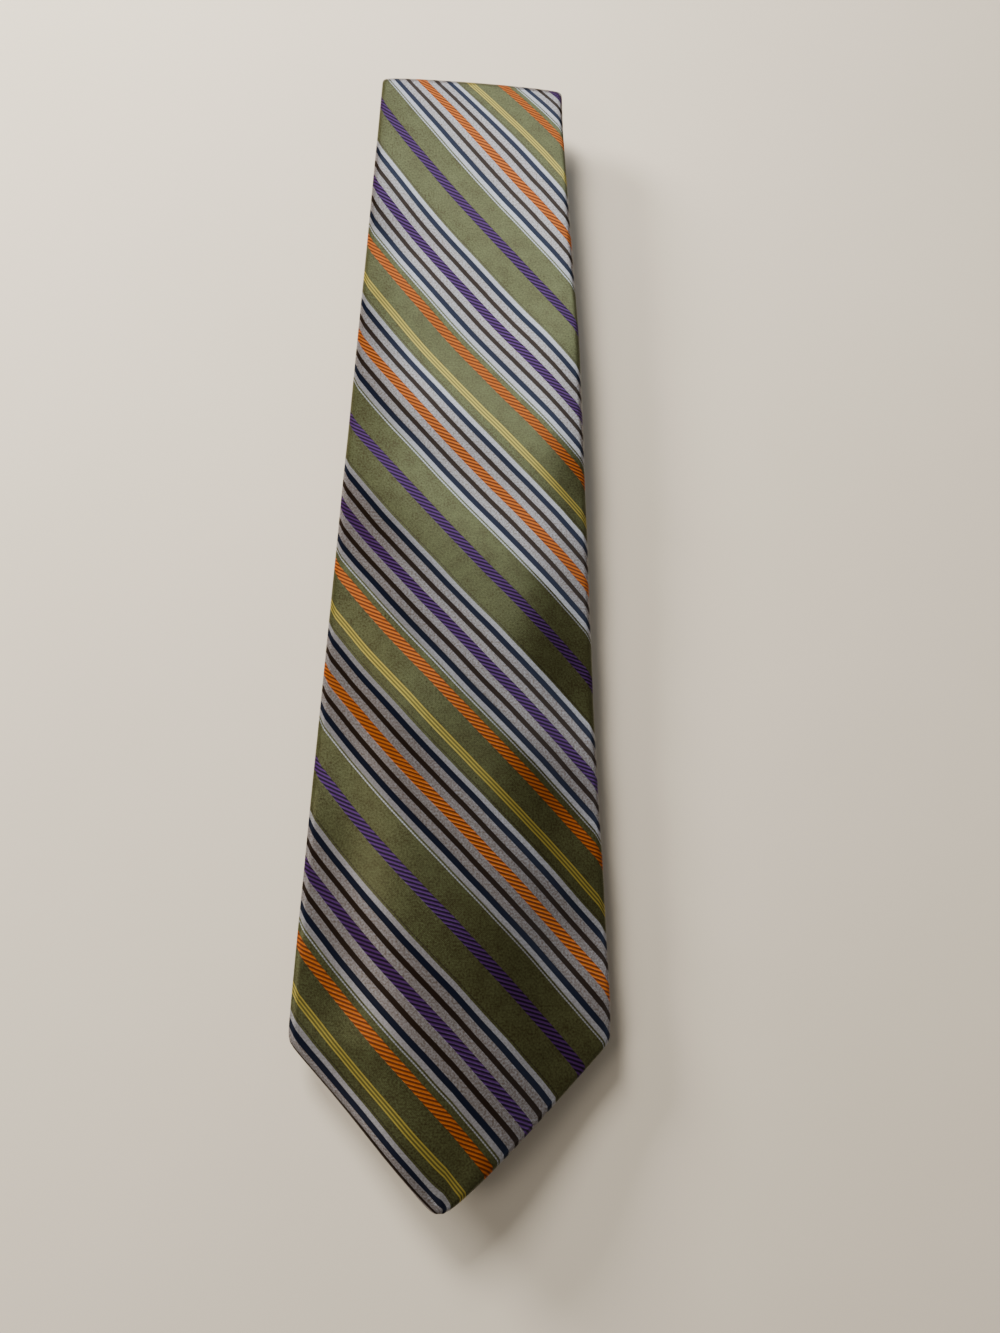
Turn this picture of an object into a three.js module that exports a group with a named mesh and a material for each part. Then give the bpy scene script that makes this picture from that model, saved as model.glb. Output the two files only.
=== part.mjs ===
// A pieced silk necktie with a pointed wide end, folded in four for storage.
// Millimetres. +X is across the tie, +Y runs from the wide end's tip to the top fold, +Z is up, and
// the origin is on the table at the middle of the folded stack.
//
// The tie is one long folded envelope of silk round a wool interlining. It lies in four quarters, one
// on another: the wide blade on top with its face up, then the second quarter, the neck quarter and,
// on the table, the narrow tail. Three soft folds join them. Each fold is a hinge line.
//
// A place on the tie is given by s, the distance along the cloth from the wide end's tip, by x, and by
// n, the depth under the silk's face: 0 on the face and PANEL on the back.

import * as THREE from 'three';

// ---------- driving dimensions ----------

const FOLDED_LENGTH = 375;      // tip of the wide end to the top fold
const BLADE_WIDTH = 95.6;       // at the shoulders of the wide end's point, before rounding
const POINT_HEIGHT = 46.5;      // tip to shoulders, close to a right-angled point
const BLADE_TAPER = 0.085;      // width lost for each mm of length above the shoulders
const NECK_WIDTH = 36;          // the part that goes under a collar
const TAIL_WIDTH = 48;          // at the shoulders of the tail's point
const TAIL_POINT_HEIGHT = 24;
const TAIL_FLARE_START = 980;   // s where the tail begins to widen
const TIP_HALF_WIDTH = 2.6;     // a point is never quite sharp
const SHOULDER_SOFTNESS = 0.9;  // how much a shoulder is rounded off

const PANEL = 2.8;              // thickness of the folded envelope
const SILK = 0.4;
const CLEAR = 0.3;              // running clearance between layers
const TIPPING = 0.3;            // lining cloth behind a point
const HEM = 9;                  // silk turned in behind a point's edges
const BACK_SLIT = 1.2;          // gap between the back flaps, where the slip stitch lies
const BLADE_TACK = 88;          // tip to bar tack, on the wide end
const TAIL_TACK = 56;           // tip to bar tack, on the tail
const LINING_INSET = 1.5;       // from the outline to the edges of the lining cloths
const LINING_TIP = 4;           // the lining cloths stop this far inside a point
const TIPPING_OVERLAP = 14;     // how far the tipping runs on under the tacked flaps
const STITCH_END = 4;           // the slip stitch is buried this far from a fold or a tack

const TAIL_GAP = 1.9;           // air between tail and neck quarter: care tag and tack
const NECK_GAP = 0.8;           // air between neck quarter and second quarter, face to face
const BLADE_GAP = 2.2;          // air between second quarter and blade: keeper loop and label

const LOWER_FOLD_INSET = 24;    // the lower fold stays this far behind the wide end's tip
const TAIL_FOLD_INSET = 7;      // the tail's fold stays this far below the top fold
const TAIL_TIP_INSET = 16;      // the tail's tip stays this far behind the wide end's tip

const SEAM_GAP = 1.3;           // along the tie, between two pieced lengths of silk
const BLADE_SEAM_Y = -85;       // where the blade's silk is pieced to the neck gusset
const TAIL_SEAM_Y = 95;         // where the gusset is pieced to the tail's silk
const THREAD = 0.3;

const KEEPER = { s: 216, width: 52, height: 12, tab: 4, rise: 1, cloth: 0.4, stitch: 9 };
const LABEL = { s: 180, width: 56, height: 24, cloth: 0.3, stitch: 3 };
const CARE_TAG = { fromTip: 82, width: 20, height: 34, cloth: 0.3, stitch: 16, hem: 2 };
const TACK = { width: 10, height: 1.4, thick: 0.5 };

const EDGE_STEPS = 4;           // facets on each rolled side edge
const FOLD_STEPS = 8;           // facets round each fold

// ---------- heights, fold axes and lengths worked out from them ----------

const TAIL_Z = 0;
const NECK_Z = PANEL + TAIL_GAP;
const SECOND_Z = NECK_Z + PANEL + NECK_GAP;
const BLADE_Z = SECOND_Z + PANEL + BLADE_GAP;

const TIP_Y = -FOLDED_LENGTH / 2;

// A fold between two quarters: its side of the stack, its outermost y, and the heights it joins.
function makeFold(side, apexY, lowZ, highZ) {
  const innerRadius = (highZ - lowZ - PANEL) / 2;
  const outerRadius = innerRadius + PANEL;
  const length = Math.PI * (innerRadius + PANEL / 2);
  const y = apexY - side * outerRadius;
  return { side, y, z: (lowZ + highZ + PANEL) / 2, innerRadius, outerRadius, length };
}

const topFold = makeFold(1, -TIP_Y, SECOND_Z, BLADE_Z);
const lowerFold = makeFold(-1, TIP_Y + LOWER_FOLD_INSET, NECK_Z, SECOND_Z);
const tailFold = makeFold(1, -TIP_Y - TAIL_FOLD_INSET, TAIL_Z, NECK_Z);
const TAIL_TIP_Y = TIP_Y + TAIL_TIP_INSET;

// Each quarter: the height of its underside, whether its face is up, and s as a function of y.
const blade = { z: BLADE_Z, faceUp: true, start: 0, from: TIP_Y, to: topFold.y };
const second = { z: SECOND_Z, faceUp: false, from: topFold.y, to: lowerFold.y };
const neck = { z: NECK_Z, faceUp: true, from: lowerFold.y, to: tailFold.y };
const tail = { z: TAIL_Z, faceUp: false, from: tailFold.y, to: TAIL_TIP_Y };

second.start = blade.to - blade.from + topFold.length;
neck.start = second.start + second.from - second.to + lowerFold.length;
tail.start = neck.start + neck.to - neck.from + tailFold.length;
const TIE_LENGTH = tail.start + tail.from - tail.to;
const TAPER_END = POINT_HEIGHT + (BLADE_WIDTH - NECK_WIDTH) / BLADE_TAPER;

function yAt(quarter, s) {
  const way = Math.sign(quarter.to - quarter.from);
  return quarter.from + way * (s - quarter.start);
}

function sAt(quarter, y) {
  return quarter.start + Math.abs(y - quarter.from);
}

// ---------- outline of the tie ----------

function softMin(a, b, softness) {
  const middle = (a + b) / 2;
  return middle - Math.hypot((a - b) / 2, softness);
}

function pointHalfWidth(fromTip, height, width) {
  return TIP_HALF_WIDTH + fromTip * (width / 2 - TIP_HALF_WIDTH) / height;
}

function halfWidth(s) {
  const fromTail = TIE_LENGTH - s;
  const taper = (BLADE_WIDTH - BLADE_TAPER * (s - POINT_HEIGHT)) / 2;
  const flareLength = TIE_LENGTH - TAIL_POINT_HEIGHT - TAIL_FLARE_START;
  const flare = Math.max(0, (s - TAIL_FLARE_START) / flareLength);
  const sides = Math.max(taper, NECK_WIDTH / 2) + flare * (TAIL_WIDTH - NECK_WIDTH) / 2;
  const bladePoint = pointHalfWidth(s, POINT_HEIGHT, BLADE_WIDTH);
  const tailPoint = pointHalfWidth(fromTail, TAIL_POINT_HEIGHT, TAIL_WIDTH);
  const outline = softMin(Math.min(bladePoint, tailPoint), sides, SHOULDER_SOFTNESS);
  return Math.max(outline, TIP_HALF_WIDTH);
}

// Half the opening between the back flaps: a slit along the tie, and an inverted V behind each point.
function halfOpening(s) {
  const fromTail = TIE_LENGTH - s;
  const [fromTip, shoulder, tack] = s < fromTail
    ? [s, POINT_HEIGHT, BLADE_TACK]
    : [fromTail, TAIL_POINT_HEIGHT, TAIL_TACK];
  const hemmed = halfWidth(s) - PANEL / 2 - HEM;
  const closing = Math.min(1, Math.max(0, (tack - fromTip) / (tack - shoulder)));
  return Math.max(BACK_SLIT / 2, hemmed * closing);
}

// ---------- cross-sections, as points (x, n) ----------

function rolledEdge(centreX, radius, fromAngle, toAngle) {
  const points = [];
  for (let i = 0; i <= EDGE_STEPS; i++) {
    const angle = fromAngle + (toAngle - fromAngle) * i / EDGE_STEPS;
    points.push([centreX + radius * Math.cos(angle), PANEL / 2 + radius * Math.sin(angle)]);
  }
  return points;
}

// The silk envelope: one face, two rolled edges and two back flaps that stop at the opening.
function envelope(half, opening) {
  const quarterTurn = Math.PI / 2;
  const outer = PANEL / 2;
  const inner = outer - SILK;
  const centre = half - outer;
  return [
    [opening, PANEL],
    ...rolledEdge(centre, outer, quarterTurn, -quarterTurn),
    ...rolledEdge(-centre, outer, -quarterTurn, -3 * quarterTurn),
    [-opening, PANEL],
    [-opening, PANEL - SILK],
    ...rolledEdge(-centre, inner, -3 * quarterTurn, -quarterTurn),
    ...rolledEdge(centre, inner, -quarterTurn, quarterTurn),
    [opening, PANEL - SILK],
  ];
}

function slab(half, nearFace, nearBack) {
  return [[-half, nearFace], [half, nearFace], [half, nearBack], [-half, nearBack]];
}

// ---------- solids ----------

// A closed solid through sections of equal point counts: each is { profile, place }.
function loft(sections) {
  const count = sections[0].profile.length;
  const positions = [];
  for (const { profile, place } of sections) {
    for (const [x, n] of profile) positions.push(...place(x, n));
  }
  const index = [];
  for (let row = 0; row + 1 < sections.length; row++) {
    for (let i = 0; i < count; i++) {
      const a = row * count + i;
      const b = row * count + (i + 1) % count;
      index.push(a, b, b + count, a, b + count, a + count);
    }
  }
  const cap = (section, first, reversed) => {
    const outline = section.profile.map(([x, n]) => new THREE.Vector2(x, n));
    const clockwise = THREE.ShapeUtils.isClockWise(outline);
    for (const face of THREE.ShapeUtils.triangulateShape(outline, [])) {
      const turned = reversed === clockwise ? face : [face[0], face[2], face[1]];
      index.push(...turned.map((corner) => corner + first));
    }
  };
  cap(sections[0], 0, true);
  cap(sections.at(-1), (sections.length - 1) * count, false);

  const geometry = new THREE.BufferGeometry();
  geometry.setAttribute('position', new THREE.Float32BufferAttribute(positions, 3));
  geometry.setIndex(isInsideOut(positions, index) ? index.reverse() : index);
  geometry.computeVertexNormals();
  return geometry;
}

function isInsideOut(positions, index) {
  const corner = (i) => new THREE.Vector3().fromArray(positions, 3 * index[i]);
  let volume = 0;
  for (let i = 0; i < index.length; i += 3) {
    volume += corner(i).dot(corner(i + 1).cross(corner(i + 2)));
  }
  return volume < 0;
}

function heightIn(quarter, n) {
  return quarter.z + (quarter.faceUp ? PANEL - n : n);
}

// Sections across a quarter at the distances s. slant leans a section along the tie, for a bias seam.
function alongQuarter(quarter, distances, profileAt, slantAt = () => 0) {
  return distances.map((s) => ({
    profile: profileAt(s),
    place: (x, n) => [x, yAt(quarter, s) + slantAt(s) * x, heightIn(quarter, n)],
  }));
}

// Sections round a fold. On the lower fold the silk's face is on the inside of the bend.
function roundFold(fold, s, faceInside, profile) {
  const sections = [];
  for (let i = 0; i <= FOLD_STEPS; i++) {
    const angle = Math.PI * i / FOLD_STEPS;
    const place = (x, n) => {
      const radius = faceInside ? fold.innerRadius + n : fold.outerRadius - n;
      const y = fold.y + fold.side * radius * Math.sin(angle);
      return [x, y, fold.z - radius * Math.cos(angle)];
    };
    sections.push({ profile: profile(halfWidth(s)), place });
  }
  return sections;
}

// A flat patch on a quarter's back, centred on (x, s), raised above the silk.
function patch(quarter, x, s, width, height, raised, thick) {
  const geometry = new THREE.BoxGeometry(width, height, thick);
  const n = PANEL + raised + thick / 2;
  geometry.translate(x, yAt(quarter, s), heightIn(quarter, n));
  return geometry;
}

// ---------- materials ----------

function cloth(color, roughness) {
  return new THREE.MeshStandardMaterial({ color, roughness, metalness: 0 });
}

const stripedSilk = cloth(0x80845f, 0.42);
const gussetSilk = cloth(0x77795a, 0.42);
const wool = cloth(0xd8d2c2, 0.95);
const liningSatin = cloth(0x5f6147, 0.4);
const sageThread = cloth(0x6d7050, 0.7);
const labelSatin = cloth(0x2c3040, 0.45);
const tagSatin = cloth(0xe9e6dd, 0.5);

const tie = new THREE.Group();

function add(name, geometry, material) {
  const mesh = new THREE.Mesh(geometry, material);
  mesh.name = name;
  tie.add(mesh);
}

// ---------- silk ----------

const silkAt = (s) => envelope(halfWidth(s), halfOpening(s));
const bladeHemStart = (PANEL / 2 + HEM + BACK_SLIT / 2 - TIP_HALF_WIDTH)
  * POINT_HEIGHT / (BLADE_WIDTH / 2 - TIP_HALF_WIDTH);
const tailHemStart = (PANEL / 2 + HEM + BACK_SLIT / 2 - TIP_HALF_WIDTH)
  * TAIL_POINT_HEIGHT / (TAIL_WIDTH / 2 - TIP_HALF_WIDTH);

// Extra sections where a shoulder is rounded.
function roundShoulder(height) {
  return [-8, -4, -2, 0, 2, 4, 8].map((step) => height + step);
}

const bladeEnds = [0, bladeHemStart, ...roundShoulder(POINT_HEIGHT), BLADE_TACK];
const bladeEdge = sAt(blade, blade.to - CLEAR);
add('blade_shell', loft(alongQuarter(blade, [...bladeEnds, bladeEdge], silkAt)), stripedSilk);

const secondSpan = [second.start + CLEAR, sAt(second, second.to + CLEAR)];
add('second_quarter_shell', loft(alongQuarter(second, secondSpan, silkAt)), stripedSilk);

// The neck quarter's silk is pieced from three lengths, joined by seams on the bias.
const neckSpan = [neck.start + CLEAR, sAt(neck, neck.to - CLEAR)];
const bladeSeam = sAt(neck, BLADE_SEAM_Y);
const tailSeam = sAt(neck, TAIL_SEAM_Y);

function piecedSilk(name, distances, isSeam, material) {
  const slantAt = (s) => (isSeam(s) ? 1 : 0);
  add(name, loft(alongQuarter(neck, distances, silkAt, slantAt)), material);
}

const bladeSeamEdges = [bladeSeam - SEAM_GAP / 2, bladeSeam + SEAM_GAP / 2];
const tailSeamEdges = [tailSeam - SEAM_GAP / 2, tailSeam + SEAM_GAP / 2];
const atSeam = (s) => [...bladeSeamEdges, ...tailSeamEdges].includes(s);
piecedSilk('blade_neck_shell', [neckSpan[0], TAPER_END, bladeSeamEdges[0]], atSeam, stripedSilk);
piecedSilk('neck_gusset', [bladeSeamEdges[1], tailSeamEdges[0]], atSeam, gussetSilk);
piecedSilk('tail_neck_shell', [tailSeamEdges[1], neckSpan[1]], atSeam, stripedSilk);

const tailEnds = [TAIL_TACK, ...roundShoulder(TAIL_POINT_HEIGHT).reverse(), tailHemStart, 0]
  .map((fromTip) => TIE_LENGTH - fromTip);
const tailSpan = [tail.start + CLEAR, ...tailEnds];
add('tail_shell', loft(alongQuarter(tail, tailSpan, silkAt)), stripedSilk);

const foldedSilk = (half) => envelope(half, BACK_SLIT / 2);
add('top_fold_shell', loft(roundFold(topFold, second.start, false, foldedSilk)), stripedSilk);
add('lower_fold_shell', loft(roundFold(lowerFold, neck.start, true, foldedSilk)), stripedSilk);
add('tail_fold_shell', loft(roundFold(tailFold, tail.start, false, foldedSilk)), stripedSilk);

// ---------- interlining and tipping ----------

const underSilk = SILK + CLEAR;
const overFlaps = PANEL - SILK - CLEAR;
const underTipping = overFlaps - TIPPING - CLEAR;

const thickWool = (half) => slab(half - LINING_INSET, underSilk, overFlaps);
const thinWool = (half) => slab(half - LINING_INSET, underSilk, underTipping);
const tippingCloth = (half) => slab(half - LINING_INSET, overFlaps - TIPPING, overFlaps);

function lining(name, quarter, distances, profile, material) {
  add(name, loft(alongQuarter(quarter, distances, (s) => profile(halfWidth(s)))), material);
}

function foldLining(name, fold, s, faceInside) {
  add(name, loft(roundFold(fold, s, faceInside, thickWool)), wool);
}

const bladeInside = [LINING_TIP, ...roundShoulder(POINT_HEIGHT)];
const tailInside = [...roundShoulder(TAIL_POINT_HEIGHT).reverse(), LINING_TIP]
  .map((fromTip) => TIE_LENGTH - fromTip);

lining('blade_interlining', blade, [...bladeInside, bladeEdge], thinWool, wool);
lining('blade_tipping', blade, [...bladeInside, BLADE_TACK + TIPPING_OVERLAP], tippingCloth,
  liningSatin);
lining('second_quarter_interlining', second, secondSpan, thickWool, wool);
lining('neck_interlining', neck, [neckSpan[0], TAPER_END, TAIL_FLARE_START, neckSpan[1]],
  thickWool, wool);
lining('tail_interlining', tail, [tail.start + CLEAR, ...tailInside], thinWool, wool);
lining('tail_tipping', tail, [TIE_LENGTH - TAIL_TACK - TIPPING_OVERLAP, ...tailInside],
  tippingCloth, liningSatin);

foldLining('top_fold_interlining', topFold, second.start, false);
foldLining('lower_fold_interlining', lowerFold, neck.start, true);
foldLining('tail_fold_interlining', tailFold, tail.start, false);

// ---------- stitching ----------

// The slip stitch is one thread down the middle of the back, here in a length for each quarter.
function slipStitch(name, quarter, from, to) {
  const profile = () => slab(THREAD, PANEL - SILK, PANEL);
  add(name, loft(alongQuarter(quarter, [from, to], profile)), sageThread);
}

slipStitch('blade_slip_stitch', blade, BLADE_TACK + STITCH_END, bladeEdge - STITCH_END);
slipStitch('second_quarter_slip_stitch', second, secondSpan[0] + STITCH_END,
  secondSpan[1] - STITCH_END);
slipStitch('neck_slip_stitch', neck, bladeSeam + STITCH_END, tailSeam - STITCH_END);
slipStitch('tail_slip_stitch', tail, tailSpan[0] + STITCH_END,
  TIE_LENGTH - TAIL_TACK - STITCH_END);

function barTack(name, quarter, s) {
  add(name, patch(quarter, 0, s, TACK.width, TACK.height, CLEAR, TACK.thick), sageThread);
}

barTack('blade_bar_tack', blade, BLADE_TACK);
barTack('tail_bar_tack', tail, TIE_LENGTH - TAIL_TACK);

// The thread of a piecing seam, lying between the two lengths of silk at the face.
function piecingSeam(name, seamS) {
  const y = yAt(neck, seamS);
  const reach = halfWidth(seamS) - PANEL;
  const thread = THREAD / 2 * Math.SQRT2;
  const section = (x) => ({
    profile: slab(thread, 0, THREAD),
    place: (along, n) => [x, y + x + along, heightIn(neck, n)],
  });
  add(name, loft([section(-reach), section(reach)]), sageThread);
}

piecingSeam('blade_piecing_seam', bladeSeam);
piecingSeam('tail_piecing_seam', tailSeam);

// ---------- keeper loop, label and care tag ----------

// A strip of silk across the blade's back that the tail is passed through, sewn down at both ends.
function keeperLoop() {
  const end = KEEPER.width / 2;
  const foot = end - KEEPER.tab;
  const low = PANEL + CLEAR;
  const high = low + KEEPER.rise;
  const shoulder = foot - 2 * KEEPER.rise;
  const under = [[-end, low], [-foot, low], [-shoulder, high], [shoulder, high], [foot, low],
    [end, low]];
  const over = under.map(([x, n]) => [x, n + KEEPER.cloth]).reverse();
  const ends = [KEEPER.s - KEEPER.height / 2, KEEPER.s + KEEPER.height / 2];
  return loft(alongQuarter(blade, ends, () => [...under, ...over]));
}

add('keeper_loop', keeperLoop(), stripedSilk);

const keeperStitchX = (KEEPER.width - KEEPER.tab) / 2;
const keeperStitchRaise = 2 * CLEAR + KEEPER.cloth;
for (const [name, side] of [['left', -1], ['right', 1]]) {
  const stitch = patch(blade, side * keeperStitchX, KEEPER.s, 2 * THREAD, KEEPER.stitch,
    keeperStitchRaise, THREAD);
  add(`keeper_stitch_${name}`, stitch, sageThread);
}

add('woven_label', patch(blade, 0, LABEL.s, LABEL.width, LABEL.height, CLEAR, LABEL.cloth),
  labelSatin);

// A short stitch across each corner of the label.
const labelCornerX = (LABEL.width - LABEL.stitch) / 2;
const labelCornerS = (LABEL.height - LABEL.stitch) / 2;
const labelStitchRaise = 2 * CLEAR + LABEL.cloth;
let corner = 1;
for (const sideX of [-1, 1]) {
  for (const sideS of [-1, 1]) {
    const stitch = patch(blade, sideX * labelCornerX, LABEL.s + sideS * labelCornerS,
      LABEL.stitch, 2 * THREAD, labelStitchRaise, THREAD);
    add(`label_stitch_${corner++}`, stitch, sageThread);
  }
}

const careTagS = TIE_LENGTH - CARE_TAG.fromTip;
add('care_tag', patch(tail, 0, careTagS, CARE_TAG.width, CARE_TAG.height, CLEAR, CARE_TAG.cloth),
  tagSatin);
const tagStitchS = careTagS - CARE_TAG.height / 2 + CARE_TAG.hem;
add('care_tag_stitch', patch(tail, 0, tagStitchS, CARE_TAG.stitch, 2 * THREAD,
  2 * CLEAR + CARE_TAG.cloth, THREAD), sageThread);

export default tie;
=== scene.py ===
"""A striped silk necktie, folded in quarters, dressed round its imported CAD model.

Lengths of the tie are in millimetres until a mesh is made; the floor and the lights are placed in metres.
A place on the tie is (x, s, n): x across it, s along the cloth from the wide end's tip, and n the depth
under the silk's face, from 0 to PANEL on the back.
"""

import math

import bpy
import numpy as np
from mathutils import Matrix, Vector


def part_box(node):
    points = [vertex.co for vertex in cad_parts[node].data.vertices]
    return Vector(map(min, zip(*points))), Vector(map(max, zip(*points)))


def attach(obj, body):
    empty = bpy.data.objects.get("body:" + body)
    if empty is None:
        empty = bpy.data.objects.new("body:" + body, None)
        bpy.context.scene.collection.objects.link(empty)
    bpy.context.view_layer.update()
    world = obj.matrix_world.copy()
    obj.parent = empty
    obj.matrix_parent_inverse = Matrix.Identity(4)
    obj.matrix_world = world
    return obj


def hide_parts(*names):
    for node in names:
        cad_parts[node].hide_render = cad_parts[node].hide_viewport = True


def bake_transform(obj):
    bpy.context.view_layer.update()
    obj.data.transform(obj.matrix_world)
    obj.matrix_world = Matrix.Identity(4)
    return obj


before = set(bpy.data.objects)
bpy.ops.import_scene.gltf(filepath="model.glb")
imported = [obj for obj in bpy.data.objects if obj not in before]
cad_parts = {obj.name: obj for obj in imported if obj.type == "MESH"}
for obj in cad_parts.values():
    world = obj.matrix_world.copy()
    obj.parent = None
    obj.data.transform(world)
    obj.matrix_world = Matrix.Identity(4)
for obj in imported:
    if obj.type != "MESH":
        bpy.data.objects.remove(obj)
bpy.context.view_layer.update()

MM = 0.001

# ---------- sizes that the CAD boxes don't give ----------

POINT_HEIGHT = 46.5  # tip to shoulders, at the wide end
TAIL_POINT_HEIGHT = 24
BLADE_WIDTH = 95.6  # before the shoulders are rounded
TAPER = 0.085
NECK_WIDTH = 36
TAIL_WIDTH = 48
TAIL_FLARE_START = 980
TIP_HALF_WIDTH = 2.6
SHOULDER_SOFTNESS = 0.9
LEAST_HALF_WIDTH = 0.25

SILK = 0.4  # thickness of the silk
CLEAR = 0.3  # gap between two cloths
TIPPING = 0.3
HEM = 9
SLIT = 0.25  # half the gap between the back flaps
BLADE_TACK = 88  # tip to the bar tack
TAIL_TACK = 56
EDGE_WIDTH = 2.2  # how far a rolled edge reaches in from the side
EDGE_CLOTH = 1.1  # half the extra cloth that a rolled edge takes up
EDGE_THINNING, THINNED_WIDTH = 0.35, 10  # how far each face sinks at the sides, and over what width
WINGS_CAP = 4.8  # most that the simulation may lower the blade
WIDE_END_SPREAD = 0.019  # the wide end, pressed flatter by its weight, is this much wider
TOP_SKEW = 0.036  # slope of the top fold's line, which isn't quite square to the tie
TOP_BOW = 1.0  # how far the middle of that line stands out
TOP_REACH = 110  # how far from the fold its lean and bow are felt
TOP_SWELL, SWELL_LENGTH = 0.6, 11  # the springy cloth swells above the fold
TOP_TURNED_IN = 3.4  # how far the right edge leans in at the top fold
RIGHT_SHOULDER_OUT = 1.4
TIP_TO_LEFT = 2.8
BLADE_WAVES, SECOND_WAVES, LOW_WAVES = 0.35, 0.12, 0.1  # heights of the waves left by handling
PUCKERS, PUCKER_SHORTNESS = 0.4, 3.2
BLADE_LOWERED = 0.25  # so that the waves rise less above the CAD face
TAIL_RAISED = 0.14  # keeps the waves of the tail above the floor
FLAT_SHARE, FOLD_ROWS = 0.22, 9  # share of each fold in its middle strip, and sections on either side of it

KEEPER_S, KEEPER_WIDTH, KEEPER_HEIGHT, KEEPER_TAB = 216, 52, 12, 4
LABEL_S, LABEL_WIDTH, LABEL_HEIGHT = 180, 56, 24
TAG_FROM_TIP, TAG_WIDTH, TAG_HEIGHT = 82, 20, 34

# ---------- the stripes, in mm across them; a repeat starts at an orange line in silver ----------

REPEAT = 84.8
FIRST_ORANGE = 79.0  # from the tip's corner to the first orange line in silver
PURPLE_IN_SILVER = 41.2
ORANGE_ON_SAGE = 25.6
PURPLE_ON_SAGE = 63.1
YELLOW_LINES = 15.7
SILVER_HALF = 11.2
NAVY_AT, NAVY_HALF = 8.75, 0.92
BROWN_AT, BROWN_HALF = 4.72, 0.8
ROPE_HALF = 1.62
YELLOW_HALF, YELLOW_PITCH = 1.2, 0.96
BORDER_AT, BORDER_HALF = SILVER_HALF + 0.75, 0.2
ROPE_PITCH, ROPE_SLANT = 1.15, 0.27


# ---------- the path of the tie through the stack ----------


def box_mm(node):
    low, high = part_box(node)
    return np.array(low) / MM, np.array(high) / MM


def fold_from(node, side):
    """Centre, middle radius and length of a fold. side is +1 at the top of the stack and -1 at its foot."""
    low, high = box_mm(node)
    outer = high[1] - low[1]
    y = low[1] if side > 0 else high[1]
    radius = outer - PANEL / 2
    return {"y": y, "z": (low[2] + high[2]) / 2, "radius": radius, "side": side, "length": math.pi * radius}


tail_low, tail_high = box_mm("tail_shell")
blade_low, blade_high = box_mm("blade_shell")
PANEL = tail_high[2] - tail_low[2]
TOP = fold_from("top_fold_shell", 1)
FOOT = fold_from("lower_fold_shell", -1)
TAIL_FOLD = fold_from("tail_fold_shell", 1)

BLADE_END = TOP["y"] - blade_low[1]
SECOND_START = BLADE_END + TOP["length"]
SECOND_END = SECOND_START + TOP["y"] - FOOT["y"]
NECK_START = SECOND_END + FOOT["length"]
NECK_END = NECK_START + TAIL_FOLD["y"] - FOOT["y"]
TAIL_START = NECK_END + TAIL_FOLD["length"]
TIE_LENGTH = TAIL_START + TAIL_FOLD["y"] - tail_low[1]


def path(s):
    """Height and y of the envelope's middle at s."""
    s = np.asarray(s, float)
    y, z = np.zeros_like(s), np.zeros_like(s)

    def straight(start, end, from_y, way, height):
        inside = (s >= start) & (s < end)
        y[inside] = from_y + way * (s[inside] - start)
        z[inside] = height

    def bend(start, end, fold):
        inside = (s >= start) & (s < end)
        angle = (s[inside] - start) / fold["radius"]
        y[inside] = fold["y"] + fold["side"] * fold["radius"] * np.sin(angle)
        z[inside] = fold["z"] + fold["radius"] * np.cos(angle)

    before_tip = -1  # a slope at the tip is taken from points on both sides of it
    straight(before_tip, BLADE_END, blade_low[1] + before_tip, 1, TOP["z"] + TOP["radius"])
    bend(BLADE_END, SECOND_START, TOP)
    straight(SECOND_START, SECOND_END, TOP["y"], -1, FOOT["z"] + FOOT["radius"])
    bend(SECOND_END, NECK_START, FOOT)
    straight(NECK_START, NECK_END, FOOT["y"], 1, TAIL_FOLD["z"] + TAIL_FOLD["radius"])
    bend(NECK_END, TAIL_START, TAIL_FOLD)
    straight(TAIL_START, np.inf, TAIL_FOLD["y"], -1, PANEL / 2)
    return y, z


# ---------- outline ----------


def soft_min(a, b, softness):
    """The lesser of a and b, rounded where they cross."""
    return (a + b) / 2 - np.hypot((a - b) / 2, softness)


def point_half(from_tip, height, width):
    """Half-width of a point with a small round tip."""
    slope = (width / 2 - TIP_HALF_WIDTH) / height
    rounding = TIP_HALF_WIDTH / slope
    from_tip = np.maximum(from_tip, 0)
    return slope * np.sqrt((from_tip + rounding) ** 2 - rounding**2)


def half_width(s):
    """Half the tie's width at s."""
    s = np.asarray(s, float)
    taper = (BLADE_WIDTH - TAPER * (s - POINT_HEIGHT)) / 2
    flare = np.clip((s - TAIL_FLARE_START) / (TIE_LENGTH - TAIL_POINT_HEIGHT - TAIL_FLARE_START), 0, None)
    sides = np.maximum(taper, NECK_WIDTH / 2) + flare * (TAIL_WIDTH - NECK_WIDTH) / 2
    blade_point = point_half(s, POINT_HEIGHT, BLADE_WIDTH)
    tail_point = point_half(TIE_LENGTH - s, TAIL_POINT_HEIGHT, TAIL_WIDTH)
    outline = soft_min(np.minimum(blade_point, tail_point), sides, SHOULDER_SOFTNESS)
    return np.maximum(outline, LEAST_HALF_WIDTH)


def half_opening(s):
    """Half the gap between the back flaps: a slit, and an inverted V behind each point."""
    s = np.asarray(s, float)
    at_blade = s < TIE_LENGTH - s
    from_tip = np.where(at_blade, s, TIE_LENGTH - s)
    shoulder = np.where(at_blade, POINT_HEIGHT, TAIL_POINT_HEIGHT)
    tack = np.where(at_blade, BLADE_TACK, TAIL_TACK)
    hemmed = half_width(s) - EDGE_WIDTH - HEM
    closing = np.clip((tack - from_tip) / (tack - shoulder), 0, 1)
    return np.clip(hemmed * closing, SLIT, None)


# ---------- how the blade hangs over the layers below ----------

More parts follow.
